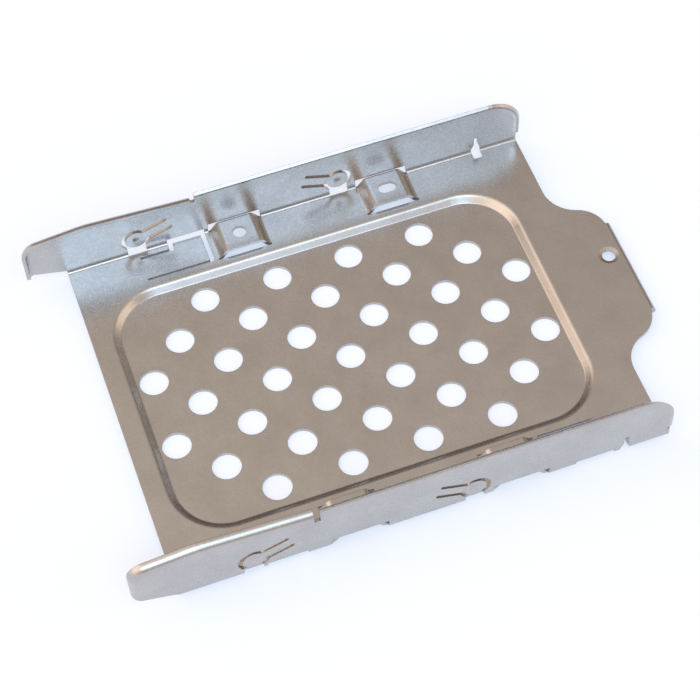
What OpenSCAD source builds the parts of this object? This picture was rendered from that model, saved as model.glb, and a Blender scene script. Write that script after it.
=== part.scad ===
// Hard drive cage: one tray folded from a single steel sheet.
// The tray lies open side up. X runs along the side walls, the end tab points to +X,
// and Z = 0 is the underside of the sunken floor panel, on which the tray rests.
// Lengths along X are measured from the middle of the vent pattern.

/* [Sheet] */
// Thickness of the sheet
sheet_t = 1; // [0.8:0.05:1.2]
// Inside radius of the folds between the floor and the walls
fold_r = 1; // [0.5:0.1:1.5]
// Gap that a lancing cut leaves beside a raised strap
lance_gap = 0.1; // [0.05:0.05:0.3]

/* [Floor] */
// Width over the outer faces of the two side walls
tray_w = 108; // [107:0.5:114]
// Distance from the vent pattern's middle to the floor's plain end
floor_back = 65.6; // [63:0.1:70]
// Distance from the vent pattern's middle to the floor's tab end
floor_front = 69.9; // [66:0.1:74]

/* [Sunken panel] */
// Depth of the panel below the rest of the floor
panel_depth = 1.8; // [1.2:0.1:2.6]
// Length of the flat panel
panel_l = 115.2; // [108:0.2:117]
// Width of the flat panel
panel_w = 75.6; // [72:0.2:77]
// Corner radius of the flat panel
panel_r = 13.4; // [6:0.1:16]
// Slope of the panel's border
panel_slope = 45; // [35:1:60]
// Middle radius of the two bends in the panel's border
panel_bend_r = 1.03; // [0.8:0.01:1.3]

/* [Vent holes] */
// Diameter of a vent hole
vent_d = 8; // [5:0.1:9]
// Distance between neighbouring vents, which stand on a square grid turned by 45 degrees
vent_pitch = 15; // [13.6:0.1:15.4]
// Least sheet between a vent hole and the end of the flat panel
vent_margin = 0.5; // [0.1:0.1:4]

/* [Side walls] */
// Height of the bend line of the front rim above the panel's underside
wall_h = 19.25; // [18:0.05:24]
// Distance from the vent pattern's middle to the end fold of the walls' long end
wall_back = 74.5; // [70:0.1:80]
// Height of the bend line at the crown of the rear rim
crown_h = 20; // [19:0.1:26]
// Place of the crown along the wall
crown_x = -58.5; // [-62:0.1:-50]
// Slope of the rear rim from the crown to the wall's end
crown_back_slope = 6; // [2:0.1:8]
// Slope of the rear rim from the crown to the relief notch
crown_front_slope = 3.6; // [1:0.1:4]
// Radius of the crown's bend line
crown_r = 20; // [5:1:40]
// Slope of the free lower edge beyond the floor
heel_slope = 16; // [10:1:22]

/* [Rims] */
// Outside radius of the rear rim
rear_rim_r = 2.5; // [2:0.1:3.5]
// Angle that the rear rim turns inwards
rear_rim_angle = 90; // [60:1:90]
// Radius of the bend line round the rear corner
rear_corner_r = 2.5; // [1:0.1:4]
// Outside radius of the front rim
front_rim_r = 3.5; // [2.5:0.1:4]
// Angle that the front rim curls inwards
front_rim_angle = 40; // [25:1:60]
// Radius of the bend line round the front corner
front_corner_r = 8; // [3:0.1:10]
// Bend line of the front end, behind the floor's front edge
front_rim_back = 1.25; // [0.5:0.05:3]
// Height at which the front rim ends
front_rim_foot = 6.3; // [5:0.1:9]
// Middle of the relief notch between the two rims
relief_x = -27.6; // [-30:0.1:-26]
// Width of the relief notch
relief_w = 1.6; // [1:0.1:3]
// Depth of the relief notch below the front rim's bend line
relief_depth = 0.5; // [0.1:0.1:2]

/* [Spring fingers] */
// Distance between the two fingers of a wall
finger_pitch = 60; // [58:0.5:62]
// Middle between the two fingers of a wall
finger_mid_x = -14.95; // [-16:0.05:-14]
// Height of the finger discs
finger_h = 8.4; // [8:0.1:9.4]
// Radius of a finger disc
finger_disc_r = 3.1; // [2.6:0.1:3.4]
// Width of the slit round a finger
finger_slit = 1.15; // [0.8:0.05:1.3]
// Width of a finger's arm
finger_arm_w = 2.9; // [2:0.1:4]
// Length from the disc's middle to the ends of the slits
finger_l = 10.8; // [8:0.1:12]
// Tilt of a finger's arm
finger_tilt = 19.5; // [10:0.5:24]
// Radius of the pip on a finger disc
pip_r = 1.5; // [1:0.1:2]
// Height of the pip
pip_h = 0.5; // [0.2:0.05:0.8]
// Reach of the opening under a disc, away from the arm
fold_cut_free = 2.9; // [2:0.1:3]
// Reach of the opening under a disc, towards the arm
fold_cut_arm = 2.6; // [2:0.1:3]
// Depth of the openings that cut the fold, inwards from a wall's outer face
fold_cut_depth = 1.6; // [1.2:0.1:2]

/* [Drive straps] */
// Place of the strap with the round hole
strap_round_x = -16.35; // [-17:0.05:-15]
// Distance between the straps of a side, as between the drive's bottom holes
strap_pitch = 44.45; // [44:0.05:45]
// Distance between the holes across the tray, as on the drive
strap_gauge = 95.25; // [94:0.05:96]
// Length of a strap's cut
strap_l = 15.6; // [14:0.1:16]
// Width of a strap
strap_w = 10.1; // [8:0.1:10.3]
// Height of a strap above the floor
strap_rise = 2.8; // [2.4:0.1:3.4]
// Slope of a strap's feet
strap_slope = 55; // [45:1:65]
// Middle radius of the bends in a strap's feet
strap_bend_r = 1.5; // [1:0.1:1.8]
// Width of the slit on the panel's side of a strap
strap_slit = 0.6; // [0.3:0.1:1]
// Diameter of the round screw hole
strap_hole_d = 4; // [3.5:0.1:5]
// Length of the slotted screw hole
strap_slot_l = 5.4; // [4.5:0.1:7]
// Width of the slotted screw hole
strap_slot_w = 3.6; // [3.5:0.1:4.5]

/* [Floor tongues] */
// Front end of the slot round the tongue on the left-hand side
tongue_left_x = -25.3; // [-26:0.1:-25]
// Front end of the slot round the rear tongue on the right-hand side
tongue_right_rear_x = -30.5; // [-31:0.1:-26]
// Front end of the slot round the front tongue on the right-hand side
tongue_right_front_x = 54.6; // [54:0.1:55]
// Length of the slots round the left-hand tongue
tongue_left_l = 19.7; // [18:0.1:21]
// Length of the slots round the right-hand tongues
tongue_right_l = 17.3; // [16:0.1:18]
// Length of a tongue's wide head, with its slot
tongue_head_l = 11.1; // [9:0.1:12]
// Width of the slot in front of a tongue
tongue_gap = 1.4; // [1:0.1:2]
// Width of the slits along a tongue
tongue_slit = 0.8; // [0.5:0.1:1]
// Distance of a tongue's root from the wall's outer face
tongue_neck_in = 4; // [3.5:0.1:4.5]
// Distance of a tongue's head from the wall's outer face
tongue_head_in = 1.7; // [1.4:0.1:2.2]
// Distance from the wall's outer face to the slit on the panel's side
tongue_reach = 11.7; // [11:0.1:12]
// Height to which the slot beside a tongue's head cuts the wall
tongue_cut_h = 4.3; // [4:0.1:4.8]

/* [Fold keyholes] */
// Middle of the keyhole
keyhole_x = 57.45; // [57.2:0.05:60]
// Width of the keyhole at the fold
keyhole_w = 2.9; // [2.4:0.1:3.2]
// Width of the keyhole's slot in the wall
keyhole_slot_w = 1.3; // [0.8:0.1:2]
// Height to which the slot reaches
keyhole_h = 8.6; // [7:0.1:10]
// Height at which the keyhole has narrowed to its slot
keyhole_neck_h = 5.8; // [5:0.1:6.5]
// Reach of the keyhole into the floor from the wall's outer face
keyhole_reach = 3.7; // [2.5:0.1:5]

/* [End tab] */
// Width of the tab at its root, where its hollow corners leave the floor's edge
tab_root_w = 64; // [56:0.2:68]
// Length of the tab up to its lip
tab_l = 12.3; // [10:0.1:16]
// Radius of the hollow corners at the tab's root
tab_root_r = 9.8; // [8:0.1:11]
// Radius of the tab's outer corners, which run into the hollow ones
tab_corner_r = 8.5; // [7:0.1:10]
// Length of the lip along the tab's end
lip_w = 31.2; // [28:0.2:34]
// Inside radius of the lip's fold
lip_r = 0.5; // [0.3:0.1:1]
// Height of the lip's lower edge
lip_foot = 0.4; // [0.2:0.1:1]
// Distance of the screw hole from the tab's outer face
tab_hole_in = 5; // [4.5:0.1:6]
// Offset of the screw hole from the middle
tab_hole_y = 5.1; // [-8:0.1:8]
// Diameter of the tab's screw hole
tab_hole_d = 3.8; // [3:0.1:4.5]
// Diameter of the coined ring round the screw hole
tab_coin_d = 5.8; // [5:0.1:6.5]
// Depth of the coined ring
tab_coin_depth = 0.3; // [0.1:0.05:0.5]

/* [Hidden] */
$fn = 72;
// Largest angle between the points of an arc
arc_step = 7.5;
// Length by which flat ends of neighbouring stretches lie in each other
lap = 0.4;
// Length by which a cut reaches past the sheet
over = 1;
// Angles of the upward and the downward direction
up = 90;
down = -90;
half_w = tray_w / 2;
wall_in = half_w - sheet_t;
fold_out_r = fold_r + sheet_t;
floor_top = panel_depth + sheet_t;
fold_top = panel_depth + fold_out_r;
lip_out_r = lip_r + sheet_t;
tab_end = floor_front + tab_l + lip_out_r;
wall_end = wall_back + rear_rim_r;
frame_mid_x = (tab_end - wall_end) / 2;
front_end_x = floor_front - front_rim_back;
strap_top = floor_top + strap_rise;
strap_out = wall_in - lance_gap;
vent_step = vent_pitch / sqrt(2);
vent_rows = floor((panel_w / 2 - vent_d / 2 - vent_margin) / vent_step);
vent_columns = floor((panel_l / 2 - vent_d / 2 - vent_margin) / vent_step);
vent_corner = max(vent_rows, vent_columns) + 1;
sheet_colour = [0.62, 0.6, 0.57];

// Level run of an S-shaped step of a given height
function step_run(rise, r, slope) =
    2 * r * sin(slope) + (rise - 2 * r * (1 - cos(slope))) / tan(slope);

// Unit vector at an angle
function unit(a) = [cos(a), sin(a)];

// Angles along an arc
function arc_angles(a_from, a_to) =
    let (steps = ceil(abs(a_to - a_from) / arc_step))
    [for (i = [0 : steps]) a_from + (a_to - a_from) * i / steps];

// Points along an arc
function arc_points(middle, r, a_from, a_to) =
    [for (a = arc_angles(a_from, a_to)) middle + r * unit(a)];

// Slice of a ring, from angle 0 to angle a
module ring_slice(r_out, a) {
    reach = 2 * r_out;
    intersection() {
        difference() {
            circle(r_out);
            circle(r_out - sheet_t);
        }
        polygon([[0, 0], reach * unit(0), reach * unit(a / 2), reach * unit(a)]);
    }
}

// Section of an S-shaped step in the sheet, which starts at the origin and climbs along +X
module step_section(rise, r, slope) {
    run = step_run(rise, r, slope);
    low = [0, sheet_t / 2 + r];
    high = [run, rise + sheet_t / 2 - r];
    r_out = r + sheet_t / 2;
    r_in = r - sheet_t / 2;
    polygon(concat(
        [[-lap, 0]],
        arc_points(low, r_out, down, down + slope),
        arc_points(high, r_in, up + slope, up),
        [[run + lap, rise], [run + lap, rise + sheet_t]],
        arc_points(high, r_out, up, up + slope),
        arc_points(low, r_in, down + slope, down),
        [[-lap, sheet_t]]
    ));
}

// Rectangle about the origin with round corners
module round_rect(l, w, r) {
    square([l - 2 * r, w], center = true);
    square([l, w - 2 * r], center = true);
    for (x = [-1, 1], y = [-1, 1])
        translate([x * (l / 2 - r), y * (w / 2 - r)])
            circle(r);
}

// Flat floor with the end tab, and a window for the sunken panel
module floor_plate() {
    run = step_run(panel_depth, panel_bend_r, panel_slope);
    inner_w = 2 * (half_w - fold_out_r);
    translate([0, 0, panel_depth])
        linear_extrude(sheet_t)
            difference() {
                union() {
                    translate([-floor_back, -inner_w / 2])
                        square([floor_back + floor_front, inner_w]);
                    tab_outline();
                }
                round_rect(panel_l + 2 * run, panel_w + 2 * run, panel_r + run);
            }
}

// Half of the end tab's outline: a hollow corner that leaves the floor's edge runs into
// the tab's outer corner
function tab_side() =
    let (root = [floor_front + tab_root_r, tab_root_w / 2])
    let (corner_x = floor_front + tab_l - tab_corner_r)
    let (corner_r = tab_root_r + tab_corner_r)
    let (lean = asin((root[0] - corner_x) / corner_r))
    let (corner = [corner_x, root[1] - corner_r * cos(lean)])
    concat(
        arc_points(root, tab_root_r, -180, down - lean),
        arc_points(corner, tab_corner_r, up - lean, 0)
    );

// Outline of the end tab
module tab_outline() {
    for (side = [0, 1])
        mirror([0, side, 0])
            polygon(concat(
                [[floor_front - over, -over], [floor_front - over, tab_root_w / 2]],
                tab_side(),
                [[floor_front + tab_l, -over]]
            ));
}

// Lip folded down along the end of the tab
module tab_lip() {
    fold_h = floor_top - lip_out_r;
    translate([floor_front + tab_l, lip_w / 2, fold_h])
        rotate([90, 0, 0])
            linear_extrude(lip_w) {
                translate([-lap, lip_out_r - sheet_t])
                    square([lap, sheet_t]);
                ring_slice(lip_out_r, 90);
                translate([lip_r, lip_foot - fold_h])
                    square([sheet_t, fold_h - lip_foot]);
            }
}

// Sunken panel with its sloping border
module sunken_panel() {
    straight_l = panel_l - 2 * panel_r;
    straight_w = panel_w - 2 * panel_r;
    linear_extrude(sheet_t)
        round_rect(panel_l, panel_w, panel_r);
    for (side = [0, 180])
        rotate([0, 0, side]) {
            translate([panel_l / 2, straight_w / 2, 0])
                rotate([90, 0, 0])
                    linear_extrude(straight_w)
                        step_section(panel_depth, panel_bend_r, panel_slope);
            translate([-straight_l / 2, panel_w / 2, 0])
                rotate([90, 0, 90])
                    linear_extrude(straight_l)
                        step_section(panel_depth, panel_bend_r, panel_slope);
        }
    for (x = [-1, 1], y = [-1, 1])
        translate([x * straight_l / 2, y * straight_w / 2, 0])
            rotate([0, 0, x > 0 ? (y > 0 ? 0 : -90) : (y > 0 ? 90 : 180)])
                rotate_extrude(angle = 90)
                    translate([panel_r, 0])
                        step_section(panel_depth, panel_bend_r, panel_slope);
}

// Vent holes on a square grid turned by 45 degrees, with the corners of the grid left out
module vent_holes() {
    for (i = [-vent_columns : vent_columns], j = [-vent_rows : vent_rows])
        if ((i + j) % 2 == 0 && abs(i) + abs(j) <= vent_corner)
            translate([i * vent_step, j * vent_step, -over])
                cylinder(h = sheet_t + 2 * over, d = vent_d);
}

// Stands a wall's flat shapes up on the left-hand side: X stays, Y becomes height,
// and Z becomes depth from the wall's outer face
module on_wall() {
    translate([0, half_w, 0])
        rotate([90, 0, 0])
            children();
}

// Middle of the arc that rounds a bend line where two straights meet at point p
function arc_middle(p, a_from, a_to, r) =
    p - r / cos((a_from - a_to) / 2) * unit((a_from + a_to) / 2);

// Stations along an arc of a bend line: each is a point and the angle of the line's normal
function bend_turn(middle, r, n_from, n_to) =
    [for (n = arc_angles(n_from, n_to)) [middle + r * unit(n), n]];

// Bend line of the rear rim: up the wall's end, over the crown and down to the relief notch
rear_normals = [180, up + crown_back_slope, up - crown_front_slope];
crown_p = [crown_x, crown_h];
rear_corner_p = [-wall_back, crown_h - (wall_back + crown_x) * tan(crown_back_slope)];
relief_back = relief_x - relief_w / 2;
rear_end_h = crown_h - (relief_back - crown_x) * tan(crown_front_slope);
rear_line = concat(
    [[[-wall_back, fold_top], rear_normals[0]]],
    bend_turn(arc_middle(rear_corner_p, rear_normals[0], rear_normals[1], rear_corner_r),
        rear_corner_r, rear_normals[0], rear_normals[1]),
    bend_turn(arc_middle(crown_p, rear_normals[1], rear_normals[2], crown_r),
        crown_r, rear_normals[1], rear_normals[2]),
    [[[relief_back, rear_end_h], rear_normals[2]]]
);

// Bend line of the front rim: along the top, round the corner and down the wall's end
relief_front = relief_x + relief_w / 2;
relief_foot = min(wall_h, rear_end_h) - relief_depth;
front_line = concat(
    [[[relief_front, wall_h], up]],
    bend_turn([front_end_x - front_corner_r, wall_h - front_corner_r], front_corner_r, up, 0),
    [[[front_end_x, front_rim_foot], 0]]
);

// Outline of a wall's flat part
module wall_outline() {
    polygon(concat(
        [for (station = rear_line) station[0]],
        [[relief_back, relief_foot], [relief_front, relief_foot]],
        [for (station = front_line) station[0]],
        [[floor_front, front_rim_foot], [floor_front, fold_top]]
    ));
}

// Rim swept along a bend line. Its section laps onto the wall and then curls through angle a.
module rim(line, r, a) {
    section = concat(
        [[-lap, 0]],
        arc_points([0, r], r, down, down + a),
        arc_points([0, r], r - sheet_t, down + a, down),
        [[-lap, sheet_t]]
    );
    n = len(section);
    last = (len(line) - 1) * n;
    points = [for (station = line, q = section)
        let (foot = station[0] + q[0] * unit(station[1]))
        [foot[0], foot[1], q[1]]];
    sides = [for (k = [0 : n : last - n], i = [0 : n - 1], half = [0, 1])
        let (j = (i + 1) % n)
        half == 0 ? [k + i, k + n + i, k + n + j] : [k + i, k + n + j, k + j]];
    start = [for (i = [0 : n / 2 - 2], half = [0, 1])
        half == 0 ? [i, i + 1, n - 2 - i] : [i, n - 2 - i, n - 1 - i]];
    end = [for (face = start) [last + face[2], last + face[1], last + face[0]]];
    polyhedron(points, concat(start, sides, end), convexity = 6);
}

// Cuts away what lies below the sloping free edge of the wall's rear end
module above_heel() {
    reach = wall_end - floor_back + over;
    difference() {
        children();
        translate([0, 0, -over])
            linear_extrude(rear_rim_r + 2 * over)
                polygon([
                    [-floor_back, 0],
                    [-floor_back, fold_top],
                    [-floor_back - reach, fold_top + reach * tan(heel_slope)],
                    [-floor_back - reach, 0]
                ]);
    }
}

// Fold between the floor and the wall
module side_fold() {
    translate([-floor_back, half_w - fold_out_r, fold_top])
        rotate([90, 0, 90])
            linear_extrude(floor_back + floor_front)
                rotate(-90)
                    ring_slice(fold_out_r, 90);
}

// Outline of the slit round a spring finger, whose arm leaves the disc along +X
module finger_slit_outline() {
    arm = finger_arm_w / 2;
    end_r = finger_slit / 2;
    difference() {
        union() {
            circle(finger_disc_r + finger_slit);
            rotate(finger_tilt) {
                translate([0, -arm - finger_slit])
                    square([finger_l - end_r, 2 * (arm + finger_slit)]);
                for (side = [-1, 1])
                    translate([finger_l - end_r, side * (arm + end_r)])
                        circle(end_r);
            }
            translate([-fold_cut_free, -finger_h])
                square([fold_cut_free + fold_cut_arm, finger_h]);
        }
        circle(finger_disc_r);
        rotate(finger_tilt)
            translate([0, -arm])
                square([finger_l + over, 2 * arm]);
    }
}

// Cuts round the two fingers of a wall and through the fold below them
module finger_cuts() {
    for (side = [-1, 1])
        translate([finger_mid_x + side * finger_pitch / 2, finger_h, 0])
            mirror([side > 0 ? 1 : 0, 0, 0])
                translate([0, 0, -over])
                    linear_extrude(fold_cut_depth + over)
                        finger_slit_outline();
}

// Pips on the finger discs, and the hollows behind them
module finger_pips(hollow = false) {
    base = pip_r - (hollow ? pip_h : 0);
    ball_r = (base * base + pip_h * pip_h) / (2 * pip_h);
    for (side = [-1, 1])
        translate([finger_mid_x + side * finger_pitch / 2, finger_h, hollow ? sheet_t : 0])
            intersection() {
                translate([0, 0, ball_r - pip_h])
                    sphere(ball_r);
                translate([0, 0, -over])
                    cylinder(h = over + lap, r = 2 * pip_r);
            }
}

// Openings that free the straps of one side, in the floor and the foot of the wall
module strap_cuts() {
    for (x = [strap_round_x, strap_round_x + strap_pitch])
        translate([x - strap_l / 2, strap_out - strap_w - strap_slit, 0])
            cube([strap_l, half_w, strap_top + lance_gap]);
}

// Raised straps of one side
module straps() {
    run = step_run(strap_rise, strap_bend_r, strap_slope);
    for (x = [strap_round_x, strap_round_x + strap_pitch])
        translate([x, strap_out, panel_depth])
            rotate([90, 0, 0])
                linear_extrude(strap_w) {
                    translate([run - strap_l / 2, strap_rise])
                        square([strap_l - 2 * run, sheet_t]);
                    for (end = [0, 1])
                        mirror([end, 0])
                            translate([-strap_l / 2, 0])
                                step_section(strap_rise, strap_bend_r, strap_slope);
                }
}

// Screw holes in the straps of one side: one round, one slotted along the wall
module strap_holes() {
    slot_reach = (strap_slot_l - strap_slot_w) / 2;
    translate([strap_round_x, strap_gauge / 2, floor_top]) {
        cylinder(h = strap_rise + over, d = strap_hole_d);
        translate([strap_pitch, 0, 0]) {
            for (end = [-1, 1])
                translate([end * slot_reach, 0, 0])
                    cylinder(h = strap_rise + over, d = strap_slot_w);
            translate([-slot_reach, -strap_slot_w / 2, 0])
                cube([2 * slot_reach, strap_slot_w, strap_rise + over]);
        }
    }
}

// Slots round a floor tongue whose root is at its rear
module tongue_cut(front_x, l) {
    corner_r = tongue_gap;
    panel_side = half_w - tongue_reach;
    neck_side = half_w - tongue_neck_in;
    head_side = half_w - tongue_head_in;
    translate([front_x, 0, -over])
        linear_extrude(tongue_cut_h + over)
            difference() {
                union() {
                    translate([-l, panel_side])
                        square([l - corner_r, neck_side - panel_side + tongue_slit]);
                    translate([-tongue_head_l, panel_side + corner_r])
                        square([tongue_head_l, tongue_reach]);
                    translate([-corner_r, panel_side + corner_r])
                        circle(corner_r);
                }
                translate([-l - over, panel_side + tongue_slit])
                    square([l + over - tongue_gap, neck_side - panel_side - tongue_slit]);
                translate([tongue_gap - tongue_head_l, panel_side + tongue_slit])
                    square([tongue_head_l - 2 * tongue_gap, head_side - panel_side - tongue_slit]);
            }
}

// Keyhole that crosses the fold near the front
module keyhole_cut() {
    translate([keyhole_x - keyhole_w / 2, half_w - keyhole_reach, 0])
        cube([keyhole_w, keyhole_reach + over, fold_top]);
    translate([keyhole_x, half_w + over, 0])
        rotate([90, 0, 0])
            linear_extrude(sheet_t + 2 * over)
                polygon([
                    [-keyhole_w / 2, 0],
                    [keyhole_w / 2, 0],
                    [keyhole_w / 2, fold_top],
                    [keyhole_slot_w / 2, keyhole_neck_h],
                    [keyhole_slot_w / 2, keyhole_h],
                    [-keyhole_slot_w / 2, keyhole_h],
                    [-keyhole_slot_w / 2, keyhole_neck_h],
                    [-keyhole_w / 2, fold_top]
                ]);
}

// Fold, wall and rims of the left-hand side
module left_side() {
    side_fold();
    on_wall()
        above_heel() {
            linear_extrude(sheet_t)
                wall_outline();
            rim(rear_line, rear_rim_r, rear_rim_angle);
            rim(front_line, front_rim_r, front_rim_angle);
        }
}

// Screw hole in the tab, with its coined ring
module tab_hole() {
    translate([tab_end - tab_hole_in, tab_hole_y, panel_depth]) {
        translate([0, 0, -over])
            cylinder(h = sheet_t + 2 * over, d = tab_hole_d);
        translate([0, 0, sheet_t - tab_coin_depth])
            cylinder(h = tab_coin_depth, d1 = tab_hole_d, d2 = tab_coin_d);
    }
}

// The whole tray, about its own middle
module drive_cage() {
    color(sheet_colour)
        translate([-frame_mid_x, 0, 0])
            difference() {
                union() {
                    difference() {
                        union() {
                            floor_plate();
                            sunken_panel();
                            tab_lip();
                            for (side = [0, 1])
                                mirror([0, side, 0])
                                    left_side();
                        }
                        vent_holes();
                        tab_hole();
                        for (side = [0, 1])
                            mirror([0, side, 0]) {
                                on_wall()
                                    finger_cuts();
                                strap_cuts();
                                keyhole_cut();
                            }
                        tongue_cut(tongue_left_x, tongue_left_l);
                        mirror([0, 1, 0]) {
                            tongue_cut(tongue_right_rear_x, tongue_right_l);
                            tongue_cut(tongue_right_front_x, tongue_right_l);
                        }
                    }
                    for (side = [0, 1])
                        mirror([0, side, 0]) {
                            straps();
                            on_wall()
                                finger_pips();
                        }
                }
                for (side = [0, 1])
                    mirror([0, side, 0]) {
                        strap_holes();
                        on_wall()
                            finger_pips(hollow = true);
                    }
            }
}

drive_cage();
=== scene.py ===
"""Looks of the hard drive cage: one tray folded from zinc-plated sheet steel."""

import math

import bpy
from mathutils import Matrix, Vector


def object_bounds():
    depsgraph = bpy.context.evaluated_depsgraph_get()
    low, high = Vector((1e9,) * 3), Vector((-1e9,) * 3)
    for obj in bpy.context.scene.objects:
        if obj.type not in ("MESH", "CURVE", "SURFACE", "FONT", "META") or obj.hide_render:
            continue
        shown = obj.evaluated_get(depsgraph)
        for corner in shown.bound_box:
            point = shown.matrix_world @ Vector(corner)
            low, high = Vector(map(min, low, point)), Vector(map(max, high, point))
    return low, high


# Camera: where it stands, which way it looks and its lens
CAMERA_AT = Vector((-0.09154, -0.28389, 0.45993))
VIEW_AZIMUTH = math.radians(17.225)
VIEW_ELEVATION = math.radians(56.904)
VIEW_ROLL = math.radians(-2.844)
SENSOR_WIDTH = 36.0
LENS = 102.85

# Half the width of the stage floor
STAGE_REACH = 6.0

# Colours of the metal and the floor, in linear light
ZINC_PALE = (0.54, 0.54, 0.545, 1)
ZINC_DULL = (0.485, 0.48, 0.48, 1)
ZINC_GRAIN = (0.42, 0.40, 0.39, 1)
# Dark brown of bare cut steel along edges, where it is partly painted shade, and laid as
# painted shade into slits and inner folds
CUT_STEEL_AND_PAINTED_SHADE = (0.16, 0.125, 0.105, 1)
STAGE_PAINT = (0.45, 0.45, 0.45, 1)
STAGE_GLOW = (0.46, 0.53, 0.64, 1)

# Noise of the finish, from its large clouds to its fine grain: cycles a metre, and layers.
# A band is the stretch of the noise over which its effect goes from none to full.
CLOUDS = {"Scale": 90, "Detail": 4, "Roughness": 0.6}
MOTTLE = {"Scale": 750, "Detail": 2, "Roughness": 0.6}
GRAIN = {"Scale": 2600, "Detail": 3, "Roughness": 0.6}
CLOUD_BAND = (0.35, 0.65)
MOTTLE_BAND = (0.3, 0.7)
GRAIN_BAND = (0.35, 0.75)

# How much of the grain's colour shows, and the roughness that the mottling varies between
GRAIN_SHARE = 0.45
ROUGHNESS = (0.24, 0.32)

# Bumps: their strength, and their depth in metres
GRAIN_BUMP = {"Strength": 0.10, "Distance": 0.0001}
MOTTLE_BUMP = {"Strength": 0.02, "Distance": 0.0004}

# Sheared edges: the radius over which one is eased, how far the eased surface faces the real
# one where the dark colour starts and where it is full, and how much of that colour shows.
# That dark line is partly the bare steel's own colour and partly painted shade.
EDGE_R = 0.0002
EDGE_FACING = (0.99, 0.80)
EDGE_SHARE = 0.6
EDGE_SAMPLES = 6

# Painted shade in slits and inner corners, which in slits also covers their bare cut faces: how
# far away their other side may be, how open the place is where the dark colour starts and where
# it is full, and how much of that colour shows
SLIT_REACH = 0.0015
SLIT_OPENNESS = (0.80, 0.50)
SLIT_SHADE_SHARE = 0.9
SLIT_SAMPLES = 8

# Surround: white at the horizon, with soft glows above it. The white fades out between two
# heights. A glow is the compass angle from +X and the height of its middle, the angle from
# its middle at which it ends, and its colour.
HORIZON = (1.0, 1.0, 1.0)
ZENITH = (0.12, 0.07, 0.05)
HORIZON_TOP = (2, 12)
COOL_KEY = (-93, 55, 26, (1.9, 2.7, 3.5))
BROAD_TOP = (-110, 75, 100, (0.70, 0.63, 0.55))
WARM_LEFT = (175, 20, 75, (1.35, 1.05, 0.80))
WARM_RIGHT = (-15, 15, 40, (1.2, 0.95, 0.70))
GLOWS = (COOL_KEY, BROAD_TOP, WARM_LEFT, WARM_RIGHT)


def add_node(tree, kind, **inputs):
    """Adds a shader node and sets its plain inputs by name, with _ for a space."""
    node = tree.nodes.new(kind)
    for name, value in inputs.items():
        node.inputs[name.replace("_", " ")].default_value = value
    return node


def new_material(name):
    """An empty node material with its output node."""
    material = bpy.data.materials.new(name)
    material.use_nodes = True
    tree = material.node_tree
    tree.nodes.clear()
    return material, tree, tree.nodes.new("ShaderNodeOutputMaterial")


def noise(tree, coords, settings):
    """Noise over the surface, the same from every side."""
    node = add_node(tree, "ShaderNodeTexNoise", **settings)
    tree.links.new(coords, node.inputs["Vector"])
    return node.outputs["Fac"]


def ramp(tree, value, low, high, to_low, to_high, smooth=False):
    """Maps a value from one range to another, and clamps it."""
    node = add_node(
        tree, "ShaderNodeMapRange", From_Min=low, From_Max=high, To_Min=to_low, To_Max=to_high
    )
    node.interpolation_type = "SMOOTHSTEP" if smooth else "LINEAR"
    tree.links.new(value, node.inputs["Value"])
    return node.outputs["Result"]


def larger(tree, first, second):
    """The larger of two values."""
    node = tree.nodes.new("ShaderNodeMath")
    node.operation = "MAXIMUM"
    tree.links.new(first, node.inputs[0])
    tree.links.new(second, node.inputs[1])
    return node.outputs["Value"]


def mix_colour(tree, factor, first, second):
    """Mixes two colours. Each is a fixed colour or an output socket."""
    node = tree.nodes.new("ShaderNodeMix")
    node.data_type = "RGBA"
    tree.links.new(factor, node.inputs["Factor"])
    for socket, value in ((node.inputs[6], first), (node.inputs[7], second)):
        if isinstance(value, tuple):
            socket.default_value = value
        else:
            tree.links.new(value, socket)
    return node.outputs[2]


def vector_math(tree, operation, first, second):
    """One step of vector arithmetic. Each input is a fixed vector or an output socket."""
    node = tree.nodes.new("ShaderNodeVectorMath")
    node.operation = operation
    for socket, value in zip(node.inputs, (first, second)):
        if isinstance(value, (tuple, Vector)):
            socket.default_value = value
        else:
            tree.links.new(value, socket)
    return node


def bump(tree, height, normal, settings):
    """The normal that is left when a height is pressed into the surface."""
    node = add_node(tree, "ShaderNodeBump", **settings)
    tree.links.new(height, node.inputs["Height"])
    tree.links.new(normal, node.inputs["Normal"])
    return node.outputs["Normal"]


def zinc_colour(tree, clouds, grain):
    """Cloudy zinc, speckled by its grain."""
    cloudy = mix_colour(tree, ramp(tree, clouds, *CLOUD_BAND, 0, 1), ZINC_DULL, ZINC_PALE)
    return mix_colour(tree, ramp(tree, grain, *GRAIN_BAND, 0, GRAIN_SHARE), cloudy, ZINC_GRAIN)


def bare_steel_and_painted_shade(tree, eased):
    """How much of the dark colour shows: most in slits and inner corners, as painted shade,
    less on edges, where it is partly bare cut steel and partly painted shade, and none on open
    sheet."""
    sharp = tree.nodes.new("ShaderNodeNewGeometry").outputs["Normal"]
    facing = vector_math(tree, "DOT_PRODUCT", eased, sharp).outputs["Value"]
    # Dark line along edges: partly the bare cut steel, partly painted shade
    edge = ramp(tree, facing, *EDGE_FACING, 0, EDGE_SHARE)
    # Painted shade in slits and inner folds: dark where the other side of the sheet is close
    around = add_node(tree, "ShaderNodeAmbientOcclusion", Distance=SLIT_REACH)
    around.only_local = True
    around.samples = SLIT_SAMPLES
    painted_slit_shade = ramp(tree, around.outputs["AO"], *SLIT_OPENNESS, 0, SLIT_SHADE_SHARE)
    return larger(tree, edge, painted_slit_shade)


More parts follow.
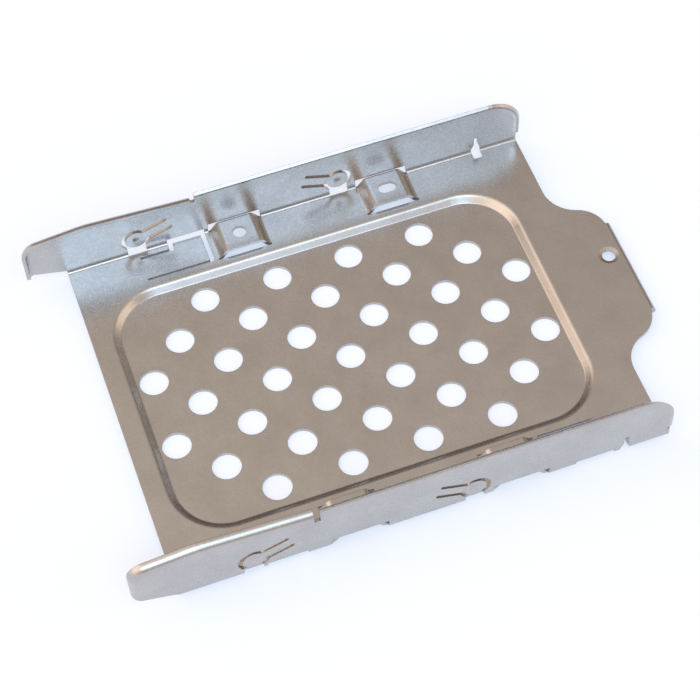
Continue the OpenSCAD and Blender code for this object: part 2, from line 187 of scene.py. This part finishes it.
def zinc_steel():
    """Zinc-plated sheet: satin and faintly mottled, dark along its cut edges, partly as bare
    steel and partly as painted shade, and with painted shade in slits and inner folds.
    """
    material, tree, output = new_material("zinc_plated_steel")
    coords = tree.nodes.new("ShaderNodeTexCoord").outputs["Object"]
    shader = add_node(tree, "ShaderNodeBsdfPrincipled", Metallic=1.0)
    tree.links.new(shader.outputs["BSDF"], output.inputs["Surface"])

    clouds, mottle, grain = (noise(tree, coords, kind) for kind in (CLOUDS, MOTTLE, GRAIN))
    rounded = add_node(tree, "ShaderNodeBevel", Radius=EDGE_R)
    rounded.samples = EDGE_SAMPLES
    eased = rounded.outputs["Normal"]

    bare_steel_and_shade = bare_steel_and_painted_shade(tree, eased)
    # Lays in the dark colour: bare steel and painted shade on edges, painted shade in slits and
    # folds
    colour = mix_colour(tree, bare_steel_and_shade, zinc_colour(tree, clouds, grain), CUT_STEEL_AND_PAINTED_SHADE)
    tree.links.new(colour, shader.inputs["Base Color"])
    rough = ramp(tree, mottle, *MOTTLE_BAND, *ROUGHNESS)
    tree.links.new(rough, shader.inputs["Roughness"])
    fine = bump(tree, grain, eased, GRAIN_BUMP)
    tree.links.new(bump(tree, mottle, fine, MOTTLE_BUMP), shader.inputs["Normal"])
    return material


def stage_white():
    """Paint that takes the light and the object's shadow, with a glow that lifts it to white
    for the camera and for what the metal shows of it."""
    material, tree, output = new_material("stage_white")
    paint = add_node(tree, "ShaderNodeBsdfDiffuse", Color=STAGE_PAINT)
    glow = add_node(tree, "ShaderNodeEmission", Color=STAGE_GLOW)
    path = tree.nodes.new("ShaderNodeLightPath")
    seen = path.outputs["Is Camera Ray"]
    for ray in ("Is Glossy Ray", "Is Transmission Ray"):
        seen = larger(tree, seen, path.outputs[ray])
    tree.links.new(seen, glow.inputs["Strength"])
    both = tree.nodes.new("ShaderNodeAddShader")
    tree.links.new(paint.outputs["BSDF"], both.inputs[0])
    tree.links.new(glow.outputs["Emission"], both.inputs[1])
    tree.links.new(both.outputs["Shader"], output.inputs["Surface"])
    return material


def make_stage(low):
    """Plain white floor under the object."""
    mesh = bpy.data.meshes.new("stage_floor")
    corners = [
        (x * STAGE_REACH, y * STAGE_REACH, low) for x, y in ((-1, -1), (1, -1), (1, 1), (-1, 1))
    ]
    mesh.from_pydata(corners, [], [(0, 1, 2, 3)])
    mesh.materials.append(stage_white())
    floor = bpy.data.objects.new("stage_floor", mesh)
    bpy.context.scene.collection.objects.link(floor)


def glow_colour(tree, way, compass, height, end, colour):
    """Light of one glow in the direction of a ray, fading from its middle to its end."""
    compass, height, end = (math.radians(angle) for angle in (compass, height, end))
    middle = Vector((
        math.cos(compass) * math.cos(height),
        math.sin(compass) * math.cos(height),
        math.sin(height),
    ))
    facing = vector_math(tree, "DOT_PRODUCT", way, middle).outputs["Value"]
    part = tree.nodes.new("ShaderNodeVectorMath")
    part.operation = "SCALE"
    part.inputs["Vector"].default_value = colour
    share = ramp(tree, facing, math.cos(end), 1, 0, 1, smooth=True)
    tree.links.new(share, part.inputs["Scale"])
    return part.outputs["Vector"]


def make_world():
    """Plain studio surround: a white horizon, and the soft glows above it."""
    world = bpy.data.worlds.new("studio")
    bpy.context.scene.world = world
    world.use_nodes = True
    tree = world.node_tree
    tree.nodes.clear()
    output = tree.nodes.new("ShaderNodeOutputWorld")
    light = add_node(tree, "ShaderNodeBackground", Strength=1.0)
    tree.links.new(light.outputs["Background"], output.inputs["Surface"])

    way = tree.nodes.new("ShaderNodeTexCoord").outputs["Generated"]
    way = vector_math(tree, "NORMALIZE", way, (0, 0, 0)).outputs["Vector"]
    sky = ZENITH
    for glow in GLOWS:
        sky = vector_math(tree, "ADD", sky, glow_colour(tree, way, *glow)).outputs["Vector"]

    height = vector_math(tree, "DOT_PRODUCT", way, (0, 0, 1)).outputs["Value"]
    low, high = (math.sin(math.radians(angle)) for angle in HORIZON_TOP)
    above = ramp(tree, height, low, high, 0, 1, smooth=True)
    tree.links.new(mix_colour(tree, above, (*HORIZON, 1), sky), light.inputs["Color"])


def make_camera():
    """Camera at the photograph's viewing angle."""
    forward = Vector((
        math.sin(VIEW_AZIMUTH) * math.cos(VIEW_ELEVATION),
        math.cos(VIEW_AZIMUTH) * math.cos(VIEW_ELEVATION),
        -math.sin(VIEW_ELEVATION),
    ))
    level = Vector((forward.y, -forward.x, 0)).normalized()
    upright = level.cross(forward)
    right = level * math.cos(VIEW_ROLL) + upright * math.sin(VIEW_ROLL)
    up = right.cross(forward)
    lens = bpy.data.cameras.new("camera")
    lens.sensor_width = SENSOR_WIDTH
    lens.lens = LENS
    camera = bpy.data.objects.new("camera", lens)
    turn = Matrix((right, up, -forward)).transposed().to_4x4()
    camera.matrix_world = Matrix.Translation(CAMERA_AT) @ turn
    bpy.context.scene.collection.objects.link(camera)
    bpy.context.scene.camera = camera


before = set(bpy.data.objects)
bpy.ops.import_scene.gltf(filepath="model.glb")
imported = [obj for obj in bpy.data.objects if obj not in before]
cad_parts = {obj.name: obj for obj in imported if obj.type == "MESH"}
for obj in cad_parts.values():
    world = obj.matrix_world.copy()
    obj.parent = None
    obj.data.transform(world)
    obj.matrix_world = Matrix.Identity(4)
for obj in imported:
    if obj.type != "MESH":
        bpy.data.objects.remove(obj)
cad_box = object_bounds()

make_camera()
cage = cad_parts["drive_cage"]
cage.data.materials.clear()
cage.data.materials.append(zinc_steel())
make_stage(cad_box[0].z)
make_world()

scene = bpy.context.scene
scene.view_settings.view_transform = "Standard"
